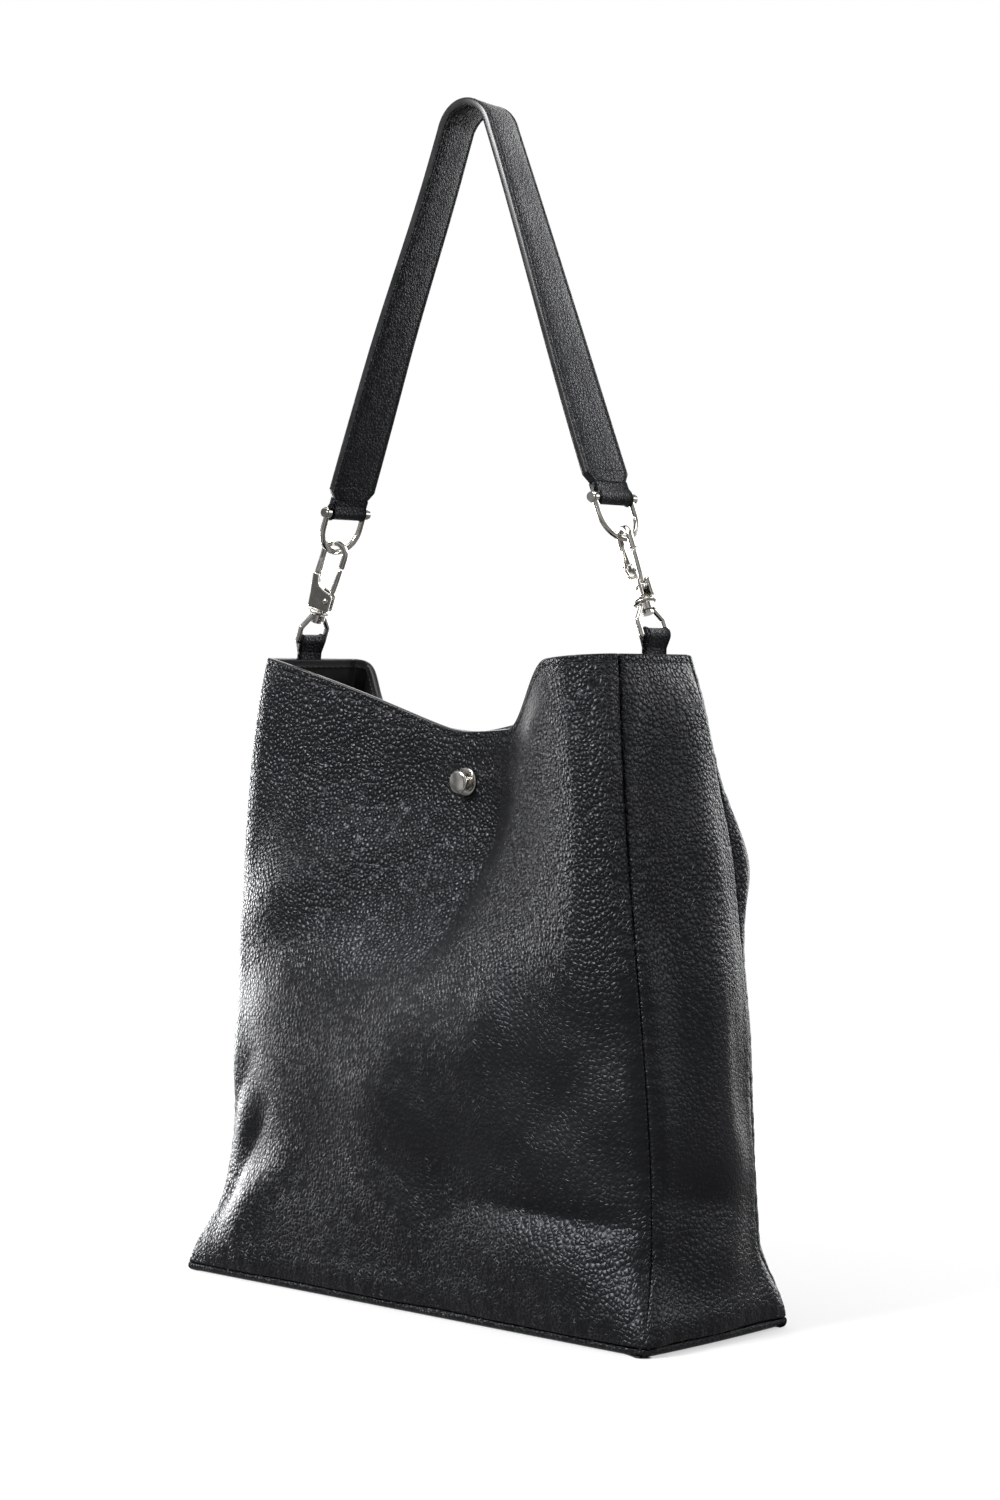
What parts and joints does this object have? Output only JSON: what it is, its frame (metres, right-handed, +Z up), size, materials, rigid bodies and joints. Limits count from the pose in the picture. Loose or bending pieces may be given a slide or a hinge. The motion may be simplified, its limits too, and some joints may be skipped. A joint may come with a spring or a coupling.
{
  "type": "shoulder bag",
  "caption": "Soft leather shoulder bag with a pinched mouth, a round front stud, side gussets and a strap clipped on by swivel snap hooks and pinned shackles.",
  "frame": {"origin": "centre of the base panel's underside, on the floor", "axes": "+Z up, +X along the width to the right seen from the front, -Y out of the front with the stud"},
  "size_m": [0.3414, 0.1262, 0.6313],
  "materials": {
    "panel_leather": "pebbled, satin",
    "facing_leather": "smooth, satin",
    "strap_leather": "pebbled, satin",
    "lining_cloth": "matt weave",
    "board": "matt",
    "strap_core": "matt",
    "nickel": "polished",
    "spring_steel": "plain"
  },
  "bodies": {
    "bag": {"front_panel": "panel_leather", "back_panel": "panel_leather", "left_gusset": "panel_leather", "right_gusset": "panel_leather", "base_panel": "panel_leather", "base_board": "board", "front_facing": "facing_leather", "back_facing": "facing_leather", "left_facing": "facing_leather", "right_facing": "facing_leather", "front_lining": "lining_cloth", "back_lining": "lining_cloth", "side_linings": "lining_cloth", "base_lining": "lining_cloth", "left_tab": "facing_leather", "right_tab": "facing_leather", "stud_cap": "nickel", "stud_flange": "nickel", "stud_screw": "nickel", "snap_socket": "nickel", "snap_plug": "nickel"},
    "strap": {"strap_outer": "strap_leather", "strap_core": "strap_core", "strap_inner": "strap_leather", "left_strap_turn": "strap_leather", "right_strap_turn": "strap_leather"},
    "left_eye": {"left_eye": "nickel"},
    "left_hook": {"left_post": "nickel", "left_hook": "nickel", "left_gate_pin": "nickel", "left_gate_spring": "spring_steel"},
    "left_gate": {"left_gate": "nickel"},
    "left_shackle": {"left_bow": "nickel", "left_pin": "nickel", "left_pin_screw": "nickel"},
    "right_eye": {"right_eye": "nickel"},
    "right_hook": {"right_post": "nickel", "right_hook": "nickel", "right_gate_pin": "nickel", "right_gate_spring": "spring_steel"},
    "right_gate": {"right_gate": "nickel"},
    "right_shackle": {"right_bow": "nickel", "right_pin": "nickel", "right_pin_screw": "nickel"}
  },
  "joints": [
    {"name": "strap_swing", "type": "hinge", "parent": "bag", "child": "strap", "pos_m": [0, 0, 0.40362], "axis": [1, 0, 0], "range_deg": [-45, 45]},
    {"name": "left_eye_tilt", "type": "hinge", "parent": "bag", "child": "left_eye", "pos_m": [-0.1271, 0, 0.35], "axis": [0, -1, 0], "range_deg": [-2, 2]},
    {"name": "left_hook_swivel", "type": "hinge", "parent": "left_eye", "child": "left_hook", "pos_m": [-0.12138, 0, 0.36387], "axis": [-0.3811, 0, -0.9245], "range_deg": [0, 50]},
    {"name": "left_gate_press", "type": "hinge", "parent": "left_hook", "child": "left_gate", "pos_m": [-0.11472, 0.00144, 0.37194], "axis": [0.3907, -0.9063, -0.161], "range_deg": [0, 25], "stiffness_Nm_per_rad": 0.02, "springref_deg": -17.19},
    {"name": "left_shackle_turn", "type": "hinge", "parent": "strap", "child": "left_shackle", "pos_m": [-0.09841, 0, 0.41962], "axis": [0, -1, 0], "range_deg": [-5.3, 5.3]},
    {"name": "right_eye_tilt", "type": "hinge", "parent": "bag", "child": "right_eye", "pos_m": [0.1271, 0, 0.35], "axis": [0, 1, 0], "range_deg": [-2, 2]},
    {"name": "right_hook_swivel", "type": "hinge", "parent": "right_eye", "child": "right_hook", "pos_m": [0.12138, 0, 0.36387], "axis": [-0.3811, 0, 0.9245], "range_deg": [0, 50]},
    {"name": "right_gate_press", "type": "hinge", "parent": "right_hook", "child": "right_gate", "pos_m": [0.12042, -0.00144, 0.37429], "axis": [-0.3907, -0.9063, -0.161], "range_deg": [0, 25], "stiffness_Nm_per_rad": 0.02, "springref_deg": -17.19},
    {"name": "right_shackle_turn", "type": "hinge", "parent": "strap", "child": "right_shackle", "pos_m": [0.09841, 0, 0.41962], "axis": [0, 1, 0], "range_deg": [-5.3, 5.3]}
  ],
  "couplings": [
    {"joint": "left_shackle_turn", "follows": "left_eye_tilt", "ratio": -2.6},
    {"joint": "right_shackle_turn", "follows": "right_eye_tilt", "ratio": -2.6}
  ]
}
